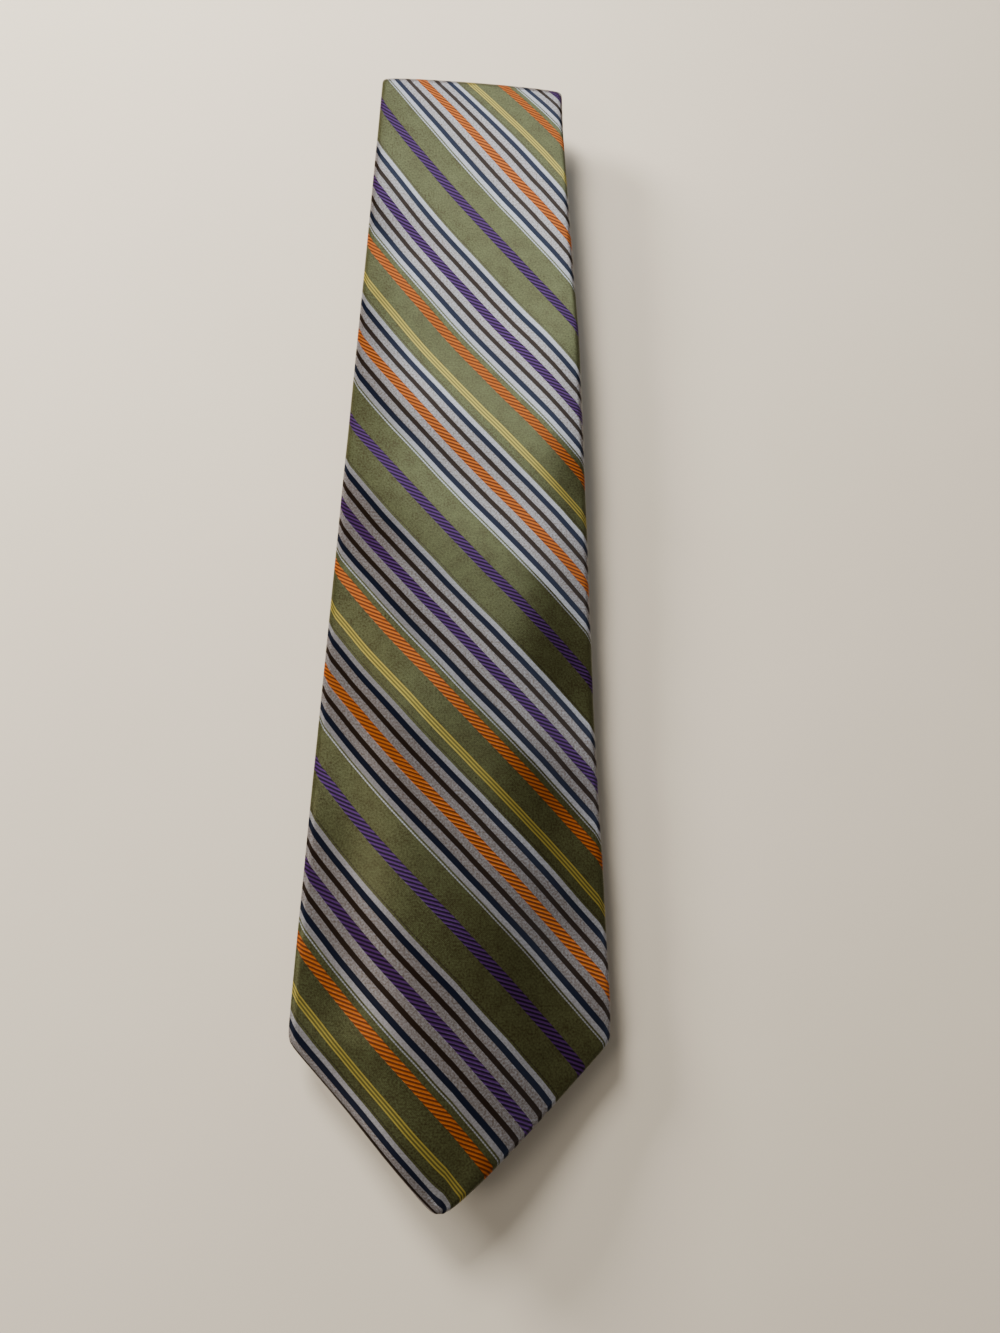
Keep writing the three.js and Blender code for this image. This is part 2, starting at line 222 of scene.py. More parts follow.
SIM_SCALE = 0.01  # the blade is simulated ten times as large as life, where the solver is steady
SIM_COLUMNS, SIM_ROWS, SIM_FRAMES = 25, 95, 50
SIM_BENDING, SIM_GRAVITY = 20, 0.035
SUPPORT_START, SUPPORT_INSET = 12, 3.5
SUPPORT_BOTTOM, SUPPORT_TOP = -60, -0.6
TERMS_ACROSS, TERMS_ALONG = 8, 16


def second_half_width(s):
    """Half-width of the second quarter where it lies under the blade's s."""
    return half_width(2 * BLADE_END + TOP["length"] - s)


def simulated_heights():
    """Height of a sheet with the blade's outline, laid over the second quarter and left to settle."""
    scene = bpy.context.scene
    distances = np.linspace(2, BLADE_END, SIM_ROWS)
    across = np.linspace(-1, 1, SIM_COLUMNS)
    x = across[None] * half_width(distances)[:, None]
    s = np.repeat(distances[:, None], SIM_COLUMNS, 1)
    points = np.stack([x, s, np.zeros_like(x)], -1).reshape(-1, 3) * SIM_SCALE
    index = np.arange(len(points)).reshape(SIM_ROWS, SIM_COLUMNS)
    corners = [index[:-1, :-1], index[:-1, 1:], index[1:, 1:], index[1:, :-1]]
    mesh = bpy.data.meshes.new("drape")
    mesh.from_pydata(points.tolist(), [], np.stack(corners, -1).reshape(-1, 4).tolist())
    sheet = bpy.data.objects.new("drape", mesh)
    scene.collection.objects.link(sheet)
    pins = sheet.vertex_groups.new(name="pins")
    pins.add(index[-3:].ravel().tolist(), 1.0, "REPLACE")

    # the layers below, as a block a little narrower than the second quarter
    block = [
        (side * (second_half_width(s) - SUPPORT_INSET) * SIM_SCALE, s * SIM_SCALE, z * SIM_SCALE)
        for s in (SUPPORT_START, BLADE_END)
        for side in (-1, 1)
        for z in (SUPPORT_BOTTOM, SUPPORT_TOP)
    ]
    sides = [(0, 2, 3, 1), (4, 5, 7, 6), (0, 1, 5, 4), (2, 6, 7, 3), (1, 3, 7, 5), (0, 4, 6, 2)]
    block_mesh = bpy.data.meshes.new("support")
    block_mesh.from_pydata(block, [], sides)
    support = bpy.data.objects.new("support", block_mesh)
    scene.collection.objects.link(support)
    support.modifiers.new("Collision", "COLLISION")
    support.collision.thickness_outer = 0.3 * SIM_SCALE
    support.collision.thickness_inner = 5 * SIM_SCALE
    support.collision.cloth_friction = 5

    cloth = sheet.modifiers.new("Cloth", "CLOTH")
    settings = cloth.settings
    settings.quality = 8
    settings.mass = 0.3
    settings.air_damping = 1.0
    settings.tension_stiffness = settings.compression_stiffness = 40
    settings.shear_stiffness = 20
    settings.bending_model = "ANGULAR"
    settings.bending_stiffness = SIM_BENDING
    settings.bending_damping = 0.5
    settings.vertex_group_mass = "pins"
    settings.effector_weights.gravity = SIM_GRAVITY
    cloth.collision_settings.distance_min = 0.3 * SIM_SCALE
    cloth.collision_settings.collision_quality = 3
    cloth.point_cache.frame_end = SIM_FRAMES
    scene.frame_end = SIM_FRAMES
    for number in range(1, SIM_FRAMES + 1):
        scene.frame_set(number)
    settled = sheet.evaluated_get(bpy.context.evaluated_depsgraph_get()).to_mesh()
    z = np.array([v.co.z for v in settled.vertices]).reshape(SIM_ROWS, SIM_COLUMNS) / SIM_SCALE
    scene.frame_set(1)
    for made in (sheet, support):
        bpy.data.objects.remove(made)
    return distances, across, z


def smooth_sheet(distances, across, z):
    """The settled heights as one smooth polynomial surface, so that no facet shows in the satin."""
    along = 2 * distances / BLADE_END - 1
    u, v = np.meshgrid(across, along)
    basis = np.polynomial.chebyshev.chebvander2d(u.ravel(), v.ravel(), [TERMS_ACROSS, TERMS_ALONG])
    factors = np.linalg.lstsq(basis, z.ravel(), rcond=None)[0].reshape(TERMS_ACROSS + 1, TERMS_ALONG + 1)

    def height(x, s):
        u = np.clip(x / half_width(s), -1, 1)
        v = np.clip(2 * np.asarray(s, float) / BLADE_END - 1, -1, 1)
        return np.polynomial.chebyshev.chebval2d(u, v, factors)

    return height


settled_height = smooth_sheet(*simulated_heights())


def fade(value, start, end):
    """0 up to start, 1 from end on, and smooth between them."""
    t = np.clip((value - start) / (end - start), 0, 1)
    return t * t * (3 - 2 * t)


def handling_waves(x, s, size, seed, shortness=1.0):
    """Shallow waves left by handling, 100 to 300 mm long, or shorter by shortness."""
    draw = np.random.default_rng(seed)
    total = np.zeros(np.broadcast(x, s).shape)
    for _ in range(7):
        across, along = draw.uniform(-0.035, 0.035) * shortness, draw.uniform(0.02, 0.06) * shortness
        total = total + draw.uniform(0.4, 1) * np.sin(across * x + along * s + draw.uniform(0, 2 * math.pi))
    return size * total / 3


def sag(x, s):
    """Height of the envelope's middle above its flat place in the CAD stack."""
    x, s = np.broadcast_arrays(np.asarray(x, float), np.asarray(s, float))
    settled = -WINGS_CAP * np.tanh(-settled_height(x, s) / WINGS_CAP)
    blade = settled + handling_waves(x, s, BLADE_WAVES, 4) - BLADE_LOWERED
    blade = blade * fade(BLADE_END - s, 0, 45)
    puckers = handling_waves(x, s, PUCKERS, 7, PUCKER_SHORTNESS)
    blade = blade + puckers * fade(BLADE_END - s, 0, 12) * fade(s, 0, 40)
    blade = blade + TOP_SWELL * np.exp(-((np.clip((BLADE_END - s) / SWELL_LENGTH, 0, None)) ** 2))
    top_fold = TOP_SWELL * (1 - fade(s, BLADE_END, BLADE_END + TOP["length"] * 0.35))
    overhang = np.maximum(np.abs(x) - NECK_WIDTH / 2 - 1, 0)
    second = -0.005 * overhang**2 + handling_waves(x, s, SECOND_WAVES, 11)
    second = second * fade(s - SECOND_START, 0, 40) * fade(SECOND_END - s, 0, 40)
    neck = handling_waves(x, s, LOW_WAVES, 23) * fade(s - NECK_START, 0, 30) * fade(NECK_END - s, 0, 30)
    tail = (handling_waves(x, s, LOW_WAVES, 31) + TAIL_RAISED) * fade(s - TAIL_START, 0, 30)
    parts = [s < BLADE_END, s < SECOND_START, s < SECOND_END, s < NECK_START, s < NECK_END, s < TAIL_START]
    zero = np.zeros_like(s)
    return np.select(parts, [blade, top_fold, second, zero, neck, zero], tail)


def near_top_fold(s):
    """1 round the top fold, fading to 0 at TOP_REACH on either side."""
    return fade(s, BLADE_END - TOP_REACH, BLADE_END) * fade(-s, -SECOND_START - TOP_REACH, -SECOND_START)


def middle(x, s):
    """The middle of the envelope's thickness at (x, s), with the lean and spread that handling gave it."""
    y, z = path(s)
    right = (1 + np.clip(x / half_width(s), -1, 1)) / 2
    x = x * (1 + WIDE_END_SPREAD * fade(-s, -330, -80))
    x = x + right * (RIGHT_SHOULDER_OUT * fade(-s, -150, -60) - TOP_TURNED_IN * near_top_fold(s))
    x = x - TIP_TO_LEFT * np.clip(1 - s / POINT_HEIGHT, 0, 1) ** 2
    fold_line = TOP_SKEW * x + TOP_BOW * (1 - (x / half_width(BLADE_END)) ** 2)
    y = y + fold_line * near_top_fold(s)
    x, y, z = np.broadcast_arrays(x, y, z + sag(x, s))
    return np.stack([x, y, z], -1)


def place(x, s, n):
    """The point at depth n under the silk's face, in mm."""
    x, s, n = np.broadcast_arrays(np.asarray(x, float), np.asarray(s, float), np.asarray(n, float))
    step = 0.4
    across = middle(x + step, s) - middle(x - step, s)
    along = middle(x, s + step) - middle(x, s - step)
    face = np.cross(across, along)
    face /= np.linalg.norm(face, axis=-1, keepdims=True)
    from_tip = np.minimum(s, TIE_LENGTH - s)
    closing = np.sqrt(np.clip(1 - (1 - np.clip(from_tip / (PANEL / 2), 0, 1)) ** 2, 0.01, 1))
    return middle(x, s) + face * ((PANEL / 2 - n) * closing)[..., None]


# ---------- meshes ----------


def make_object(name, points, faces, material, cloth=None, sharp=40):
    mesh = bpy.data.meshes.new(name)
    mesh.from_pydata((np.asarray(points).reshape(-1, 3) * MM).tolist(), [], faces)
    mesh.validate()
    if cloth is not None:
        attribute = mesh.attributes.new("cloth", "FLOAT_VECTOR", "POINT")
        attribute.data.foreach_set("vector", np.asarray(cloth, np.float32).ravel())
        add_thread_map(mesh, np.asarray(cloth).reshape(-1, 3))
    mesh.shade_smooth()
    mesh.set_sharp_from_angle(angle=math.radians(sharp))
    mesh.materials.append(material)
    made = bpy.data.objects.new(name, mesh)
    bpy.context.scene.collection.objects.link(made)
    return made


def add_thread_map(mesh, cloth):
    """A map whose first direction runs along the stripes, for the sheen of the threads."""
    corner_points = np.empty(len(mesh.loops), np.int64)
    mesh.loops.foreach_get("vertex_index", corner_points)
    along = (cloth[:, 0] - cloth[:, 1]) / 200
    across = (cloth[:, 0] + cloth[:, 1]) / 200
    layer_map = mesh.uv_layers.new(name="threads")
    layer_map.data.foreach_set("uv", np.stack([along, across], 1)[corner_points].astype(np.float32).ravel())


def sandwich(name, upper, lower, material, cloth=None):
    """A closed sheet between two grids of points, each (rows, columns, 3)."""
    rows, columns = upper.shape[:2]
    top = np.arange(rows * columns).reshape(rows, columns)
    under = top + rows * columns

    def quads(a, b, c, d):
        return np.stack([a, b, c, d], -1).reshape(-1, 4).tolist()

    faces = quads(top[:-1, :-1], top[:-1, 1:], top[1:, 1:], top[1:, :-1])
    faces += quads(under[:-1, :-1], under[1:, :-1], under[1:, 1:], under[:-1, 1:])
    faces += quads(top[0, :-1], under[0, :-1], under[0, 1:], top[0, 1:])
    faces += quads(top[-1, :-1], top[-1, 1:], under[-1, 1:], under[-1, :-1])
    faces += quads(top[:-1, 0], top[1:, 0], under[1:, 0], under[:-1, 0])
    faces += quads(top[:-1, -1], under[:-1, -1], under[1:, -1], top[1:, -1])
    points = np.concatenate([upper.reshape(-1, 3), lower.reshape(-1, 3)])
    marks = None if cloth is None else np.concatenate([cloth.reshape(-1, 3)] * 2)
    return make_object(name, points, faces, material, marks)


def tube_points(points, radius, sides):
    """Rings round a line of points, without twist."""
    points = np.asarray(points, float)
    along = np.gradient(points, axis=0)
    along /= np.linalg.norm(along, axis=1, keepdims=True)
    side = np.cross(along[0], [0.0, 0.0, 1.0])
    if np.linalg.norm(side) < 0.1:
        side = np.cross(along[0], [1.0, 0.0, 0.0])
    radius = np.broadcast_to(radius, len(points))
    turns = np.linspace(0, 2 * math.pi, sides, endpoint=False)
    rings = []
    for point, way, size in zip(points, along, radius):
        side = side - way * side.dot(way)
        side /= np.linalg.norm(side)
        up = np.cross(way, side)
        rings.append(point + size * (np.cos(turns)[:, None] * side + np.sin(turns)[:, None] * up))
    return np.array(rings)


def threads(name, lines, radius, material, sides=8):
    """One mesh of round threads, each along its own line of points."""
    points, faces = [], []
    for line in lines:
        rings = tube_points(line, radius, sides)
        first = sum(len(p) for p in points)
        count = len(rings)
        grid = first + np.arange(count * sides).reshape(count, sides)
        beside = np.roll(grid, -1, axis=1)
        faces += np.stack([grid[:-1], beside[:-1], beside[1:], grid[1:]], -1).reshape(-1, 4).tolist()
        faces += [grid[0][::-1].tolist(), grid[-1].tolist()]
        points.append(rings.reshape(-1, 3))
    return make_object(name, np.concatenate(points), faces, material)


# ---------- the silk envelope ----------

FLAP_POINTS, EDGE_POINTS, FACE_POINTS = 14, 9, 49


def edge_arc(turn, reach, depth):
    """A rolled edge's section: distance in from the side, and depth. turn is 0 at the face, 1 at the back."""
    angle = math.pi * turn
    return reach * (1 - np.sin(angle)), depth * (1 - np.cos(angle))


def thinning(x, half):
    """How much of the envelope's thickness is gone from each side at x."""
    return EDGE_THINNING * np.clip((np.abs(x) - half) / THINNED_WIDTH + 1, 0, 1) ** 2


def envelope_section(s):
    """Half-width, and x and n of the silk's outer and inner side, at each distance s."""
    s = np.asarray(s, float)[:, None]
    half, opening = half_width(s), half_opening(s)
    reach = np.minimum(EDGE_WIDTH, 0.8 * half)
    opening = np.minimum(opening, 0.6 * (half - reach))

    flap = np.linspace(0, 1, FLAP_POINTS)[None, :-1]
    turn = np.linspace(1, 0, EDGE_POINTS)[None]
    across = np.linspace(1, -1, FACE_POINTS)[None, 1:-1]

    def side(x_flap, x_edge, x_face, n_back, n_edge, n_face):
        x = np.concatenate([x_flap, x_edge, x_face, -x_edge[:, ::-1], -x_flap[:, ::-1]], 1)
        n = np.concatenate([n_back, n_edge, n_face, n_edge[:, ::-1], n_back[:, ::-1]], 1)
        return x, n

    def skin(inset):
        """The envelope's surface, moved in by inset."""
        x_flap = opening + (half - reach - opening) * flap
        distance, depth = edge_arc(turn, 1.0, 0.5)
        height = PANEL - 2 * EDGE_THINNING - 2 * inset
        x_edge = half - inset - distance * (reach - inset)
        n_edge = EDGE_THINNING + inset + depth * height
        x_face = across * (half - reach)
        n_back = PANEL - inset - thinning(x_flap, half)
        n_face = inset + thinning(x_face, half)
        # the arc starts where the thinned face ends
        n_edge = n_edge + (thinning(half - reach, half) - EDGE_THINNING) * np.cos(math.pi * turn)
        return side(x_flap, x_edge, x_face, n_back, n_edge, n_face)

    return half, skin(0.0), skin(SILK)


STRAIGHTEST, STRAIGHT_REACH = 200, 170  # where the stripes are straightest, and over what length


def pull(x, s):
    """How far the stripes were drawn along the tie when this bias-cut cloth was sewn and pressed."""
    share = np.clip(x / half_width(s), -1, 1)
    along = np.clip((s - STRAIGHTEST) / STRAIGHT_REACH, -1.2, 1)
    bowed = 1.4 * share**2 - 1.2 * share**3 - 1.55 * along**2 * share
    drawn = 4.6 * along**3 - 1.5 * along
    over_fold = (9 + 4 * share) * np.exp(-np.clip(BLADE_END + 3 - s, 0, None) / 12)
    at_tip = 3.8 * np.clip(-share, 0, 1) * fade(-s, -160, -40) - 7.5 * np.exp(-np.maximum(s, 0) / 18)
    whole = over_fold + at_tip - math.sqrt(2) * (bowed + drawn)
    return whole * fade(-s, -SECOND_START - 200, -SECOND_START)


def cloth_places(s, half, x, n, shift):
    """Where each point was on the flat cloth. The back is the cloth's mirror image in the folded edge."""
    s = np.broadcast_to(np.asarray(s, float)[:, None], x.shape)
    step = 0.5
    slope = (half_width(s + step) - half_width(s - step)) / (2 * step)
    length = np.hypot(slope, 1)
    inward = np.abs(x) - half
    along = inward * slope / length
    mirrored_x = half + 2 * along * slope / length - inward
    mirrored_s = s + 2 * along / length
    behind = fade(n, PANEL * 0.35, PANEL * 0.65)
    wrap = EDGE_CLOTH * fade(np.abs(x), half - EDGE_WIDTH, half)
    front_x = np.abs(x) + wrap
    back_x = mirrored_x + 2 * EDGE_CLOTH - wrap
    cloth_x = np.sign(x) * (front_x + (back_x - front_x) * behind)
    cloth_s = s + (mirrored_s - s) * behind + pull(x, s)
    return np.stack([cloth_x, cloth_s + shift, np.zeros_like(x)], -1)


def silk(name, s, material, slants=None, shift=0.0):
    """A length of the silk envelope through sections at s. slants lean the sections at a bias seam."""
    s = np.asarray(s, float)
    half, (x_out, n_out), (x_in, n_in) = envelope_section(s)
    lean = np.zeros((len(s), 1)) if slants is None else np.asarray(slants, float)[:, None]
    cloth = cloth_places(s, half, x_out, n_out, shift)
    cloth[..., 1] += lean * x_out
    # outside the envelope is the first grid, whose normals face out
    outer = place(x_out, s[:, None] + lean * x_out, n_out)
    inner = place(x_in, s[:, None] + lean * x_in, n_in)
    made = sandwich(name, outer, inner, material, cloth)
    widths = np.abs(np.diff(cloth[..., 0], axis=1)).sum(1)
    made["flat"] = [widths.max() * MM, (s[-1] - s[0]) * MM, np.trapz(widths, s) * MM * MM]
    return made


def layer(name, s, half, n_face, n_back, material, columns=33):
    """A flat cloth inside the envelope, between two depths. half is its half-width at each s."""
    s = np.asarray(s, float)
    across = np.linspace(-1, 1, columns)[None]
    x = across * np.asarray(half, float)[:, None]
    upper, lower = place(x, s[:, None], n_face), place(x, s[:, None], n_back)
    cloth = np.stack([x, np.broadcast_to(s[:, None], x.shape), np.zeros_like(x)], -1)
    made = sandwich(name, upper, lower, material, cloth)
    width = 2 * float(np.max(half))
    area = np.trapz(2 * np.asarray(half, float), s)
    made["flat"] = [width * MM, (s[-1] - s[0]) * MM, area * MM * MM]
    return made


# ---------- materials ----------


def srgb(red, green, blue):
    """A linear colour from the eight-bit values of a colour picker."""
    parts = np.array([red, green, blue]) / 255
    linear = np.where(parts <= 0.04045, parts / 12.92, ((parts + 0.055) / 1.055) ** 2.4)
    return (*linear.tolist(), 1.0)


class Shading:
    """A material and short ways to add nodes to it."""

    def __init__(self, name, roughness, metallic=0.0, specular=0.5, sheen=0.0, sheen_tint=(1, 1, 1, 1)):
        self.material = bpy.data.materials.new(name)
        self.material.use_nodes = True
        self.tree = self.material.node_tree
        self.shader = self.tree.nodes["Principled BSDF"]
        self.set(self.shader, "Roughness", roughness)
        self.set(self.shader, "Metallic", metallic)
        self.set(self.shader, "Specular IOR Level", specular)
        self.set(self.shader, "Sheen Weight", sheen)
        self.set(self.shader, "Sheen Roughness", 0.4)
        self.set(self.shader, "Sheen Tint", sheen_tint)

    def set(self, node, key, value):
        socket = node.inputs[key]
        if isinstance(value, bpy.types.NodeSocket):
            self.tree.links.new(value, socket)
        elif value is not None:
            socket.default_value = value

    def node(self, kind, *values, output=0, **settings):
        made = self.tree.nodes.new("ShaderNode" + kind)
        for key, value in settings.items():
            setattr(made, key, value)
        for number, value in enumerate(values):
            self.set(made, number, value)
        return made.outputs[output]

    def noise(self, place, scale, detail, roughness=0.5):
        return self.node("TexNoise", place, None, scale, detail, roughness)

    def math(self, operation, *values, clamp=False):
        return self.node("Math", *values, operation=operation, use_clamp=clamp)

    def colour(self, factor, first, second):
        """first where factor is 0, second where it is 1."""
        made = self.tree.nodes.new("ShaderNodeMix")
        made.data_type = "RGBA"
        for key, value in ((0, factor), (6, first), (7, second)):
            self.set(made, key, value)
        return made.outputs[2]

    def line(self, distance, half, softness=0.1):
        """1 within half of the middle of a line, 0 outside it."""
        inside = self.math("SUBTRACT", half, self.math("ABSOLUTE", distance))
        return self.math("MULTIPLY_ADD", inside, 1 / softness, 0.5, clamp=True)

    def wrapped(self, value, centre, period):
        """Distance from the nearest of the lines that repeat by period from centre."""
        shifted = self.math("SUBTRACT", value, centre)
        return self.math("WRAP", shifted, period / 2, -period / 2)

    def add(self, *values):
        total = values[0]
        for value in values[1:]:
            total = self.math("ADD", total, value)
        return total

    def wave(self, value, period):
        """A sine from 0 to 1."""
        angle = self.math("MULTIPLY", value, 2 * math.pi / period)
        return self.math("MULTIPLY_ADD", self.math("SINE", angle), 0.5, 0.5)

    def bump(self, height, strength, distance):
        made = self.tree.nodes.new("ShaderNodeBump")
        made.inputs["Strength"].default_value = strength
        made.inputs["Distance"].default_value = distance
        self.set(made, "Height", height)
        self.tree.links.new(made.outputs["Normal"], self.shader.inputs["Normal"])

    def cloth_place(self):
        """The place on the flat cloth, in mm, as a vector and as x and s."""
        place_node = self.tree.nodes.new("ShaderNodeAttribute")
        place_node.attribute_name = "cloth"
        parts = self.tree.nodes.new("ShaderNodeSeparateXYZ")
        self.tree.links.new(place_node.outputs["Vector"], parts.inputs[0])
        return place_node.outputs["Vector"], parts.outputs[0], parts.outputs[1]


SAGE = srgb(80, 84, 54)
SAGE_DARK = srgb(56, 52, 28)
SILVER = srgb(138, 136, 141)
SILVER_DARK = srgb(98, 89, 84)
NAVY = srgb(11, 18, 38)
BROWN = srgb(32, 20, 12)
ORANGE = srgb(172, 90, 18)
ORANGE_DARK = srgb(92, 42, 10)
PURPLE = srgb(72, 39, 96)
PURPLE_DARK = srgb(22, 9, 30)
YELLOW = srgb(158, 142, 60)
GOLD = srgb(86, 82, 40)
SELVEDGE = srgb(44, 38, 26)
PALE_EDGE = srgb(160, 164, 174)


def striped_silk():
    """Jacquard satin: the stripes run at 45 degrees to the tie, and the ropes are twilled across."""
    m = Shading("striped_silk", 0.42, metallic=0.66)
    m.set(m.shader, "Anisotropic", 0.75)
    m.set(m.shader, "Tangent", m.node("Tangent", direction_type="UV_MAP", uv_map="threads"))
    vector, x, s = m.cloth_place()
    across = m.math("MULTIPLY", m.math("ADD", x, s), math.sqrt(0.5))
    along = m.math("MULTIPLY", m.math("SUBTRACT", x, s), math.sqrt(0.5))
    wobble = m.noise(vector, 0.05, 1.0)
    across = m.math("ADD", across, m.math("MULTIPLY_ADD", wobble, 0.5, -0.25))

    from_orange = m.wrapped(across, FIRST_ORANGE, REPEAT)
    from_purple = m.wrapped(across, FIRST_ORANGE + PURPLE_IN_SILVER, REPEAT)
    from_sage_orange = m.wrapped(across, FIRST_ORANGE + ORANGE_ON_SAGE, REPEAT)
    from_sage_purple = m.wrapped(across, FIRST_ORANGE + PURPLE_ON_SAGE, REPEAT)
    from_yellow = m.wrapped(across, FIRST_ORANGE + YELLOW_LINES, REPEAT)
    nearest = m.math("MINIMUM", m.math("ABSOLUTE", from_orange), m.math("ABSOLUTE", from_purple))

    silver = m.line(nearest, SILVER_HALF)
    outer_silver = m.line(m.math("SUBTRACT", nearest, SILVER_HALF), SILVER_HALF - NAVY_AT, 0.6)
    navy = m.line(m.math("SUBTRACT", nearest, NAVY_AT), NAVY_HALF)
    brown = m.line(m.math("SUBTRACT", nearest, BROWN_AT), BROWN_HALF)
    orange = m.math("MAXIMUM", m.line(from_orange, ROPE_HALF), m.line(from_sage_orange, ROPE_HALF))
    purple = m.math("MAXIMUM", m.line(from_purple, ROPE_HALF), m.line(from_sage_purple, ROPE_HALF))
    yellow = m.line(from_yellow, YELLOW_HALF)
    borders = []
    for shift in (-BORDER_AT, BORDER_AT):
        shifted = [m.math("ADD", distance, shift) for distance in (from_orange, from_purple)]
        borders.append(m.math("MAXIMUM", *[m.line(distance, BORDER_HALF) for distance in shifted]))
    dark_edge, pale_edge = borders

    # threads: satin floats along the stripes, and twill bars across the ropes
    grain = m.noise(vector, 2.6, 2.0, 0.6)
    cloud = m.noise(vector, 0.22, 2.0, 0.5)
    fine = m.wave(m.math("ADD", across, m.math("MULTIPLY", grain, 0.5)), 0.42)
    dashes = m.wave(along, 0.9)
    twill_place = m.math("MULTIPLY_ADD", x, ROPE_SLANT, s)
    twill = m.wave(m.math("ADD", twill_place, m.math("MULTIPLY", grain, 0.12)), ROPE_PITCH)
    twill = m.math("MULTIPLY_ADD", m.math("SUBTRACT", twill, 0.5), 1.7, 0.5, clamp=True)

    flecks = m.noise(vector, 1.7, 1.0, 0.5)
    speckle = m.math("MULTIPLY_ADD", flecks, 2.6, -0.8, clamp=True)
    tone = m.math("MULTIPLY_ADD", cloud, 1.0, m.math("MULTIPLY_ADD", flecks, 2.2, -1.1), clamp=True)
    sage = m.colour(tone, SAGE_DARK, SAGE)
    silver_colour = m.colour(speckle, SILVER_DARK, SILVER)
    silver_colour = m.colour(m.math("MULTIPLY", outer_silver, 0.35), silver_colour, PALE_EDGE)
    rope_orange = m.colour(twill, ORANGE_DARK, ORANGE)
    rope_purple = m.colour(twill, PURPLE_DARK, PURPLE)
    yellow_thread = m.line(m.wrapped(from_yellow, 0.0, YELLOW_PITCH), 0.21, 0.16)
    yellow_colour = m.colour(yellow_thread, GOLD, YELLOW)

    colour = m.colour(silver, sage, silver_colour)
    broken = m.math("MULTIPLY_ADD", dashes, 0.5, 0.4)
    colour = m.colour(m.math("MULTIPLY", dark_edge, broken), colour, SELVEDGE)
    colour = m.colour(m.math("MULTIPLY", pale_edge, broken), colour, PALE_EDGE)
    masks = (navy, brown, yellow, orange, purple)
    for mask, paint in zip(masks, (NAVY, BROWN, yellow_colour, rope_orange, rope_purple)):
        colour = m.colour(mask, colour, paint)
    m.set(m.shader, "Base Color", colour)

    # a highlight runs across its threads: along the stripes in silver, and across them in the rest
    m.set(m.shader, "Anisotropic Rotation", m.math("MULTIPLY_ADD", silver, -0.25, 0.25))
    rope = m.math("MAXIMUM", orange, purple)
    line = m.math("MAXIMUM", navy, brown)
    ground = m.math("SUBTRACT", 1.0, m.math("MAXIMUM", rope, line), clamp=True)
    roughness = m.add(
        m.math("MULTIPLY", ground, 0.36),
        m.math("MULTIPLY", rope, 0.5),
        m.math("MULTIPLY", line, 0.48),
        m.math("MULTIPLY_ADD", flecks, 0.3, -0.15),
    )
    m.set(m.shader, "Roughness", roughness)
    height = m.add(
        m.math("MULTIPLY", twill, rope),
        m.math("MULTIPLY", m.math("MULTIPLY", fine, ground), 0.22),
        m.math("MULTIPLY", m.math("MAXIMUM", rope, m.math("MAXIMUM", line, yellow)), 0.4),
        m.math("MULTIPLY", grain, 0.5),
    )
    m.bump(height, 0.5, 0.00012)
    return m.material


def wool_cloth():
    """Brushed interlining, felted and matte."""
    m = Shading("wool_interlining", 0.95, specular=0.15, sheen=0.3)
    vector, x, s = m.cloth_place()
    fuzz = m.noise(vector, 1.4, 6.0, 0.7)
    weave = m.math("MULTIPLY", m.wave(x, 0.8), m.wave(s, 0.8))
    m.set(m.shader, "Base Color", m.colour(fuzz, srgb(196, 188, 170), srgb(232, 226, 212)))
    m.bump(m.add(m.math("MULTIPLY", weave, 0.5), fuzz), 0.6, 0.0002)
    return m.material


def satin(name, dark, light, roughness=0.34, period=0.3, metallic=0.25):
    """A plain satin lining or ribbon, with floats along the piece."""
    m = Shading(name, roughness, metallic=metallic, specular=0.6, sheen=0.05)
    vector, x, s = m.cloth_place()
    stretched = m.node("Mapping", vector, (0, 0, 0), (0, 0, 0), (3.5, 0.4, 1))
    streaks = m.noise(stretched, 1.0, 3.0, 0.6)
    cloud = m.noise(vector, 0.12, 2.0, 0.5)
    tone = m.math("MULTIPLY_ADD", streaks, 0.9, m.math("MULTIPLY_ADD", cloud, 0.6, -0.25), clamp=True)
    m.set(m.shader, "Base Color", m.colour(tone, dark, light))
    ribs = m.add(m.math("MULTIPLY", m.wave(x, period), 0.4), m.math("MULTIPLY", streaks, 0.6))
    m.bump(ribs, 0.35, 0.00008)
    return m.material


def label_cloth():
    """A blank damask label: a plain field with a fine woven border."""
    m = Shading("label_satin", 0.38, metallic=0.15, specular=0.6)
    vector, x, s = m.cloth_place()
    from_side = m.math("SUBTRACT", LABEL_WIDTH / 2, m.math("ABSOLUTE", x))
    from_end = m.math("SUBTRACT", LABEL_HEIGHT / 2, m.math("ABSOLUTE", m.math("SUBTRACT", s, LABEL_S)))
    inset = m.math("MINIMUM", from_side, from_end)
    border = m.line(m.math("SUBTRACT", inset, 2.6), 0.45, 0.15)
    grain = m.noise(vector, 2.2, 3.0, 0.6)
    ribs = m.math("MULTIPLY", m.wave(x, 0.5), m.wave(s, 0.35))
    tone = m.math("MULTIPLY_ADD", grain, 0.8, m.math("MULTIPLY", ribs, 0.3), clamp=True)
    field = m.colour(tone, srgb(30, 34, 48), srgb(62, 68, 88))
    m.set(m.shader, "Base Color", m.colour(border, field, srgb(176, 168, 140)))
    m.bump(m.add(m.math("MULTIPLY", ribs, 0.6), m.math("MULTIPLY", border, 0.5)), 0.5, 0.00015)
    return m.material


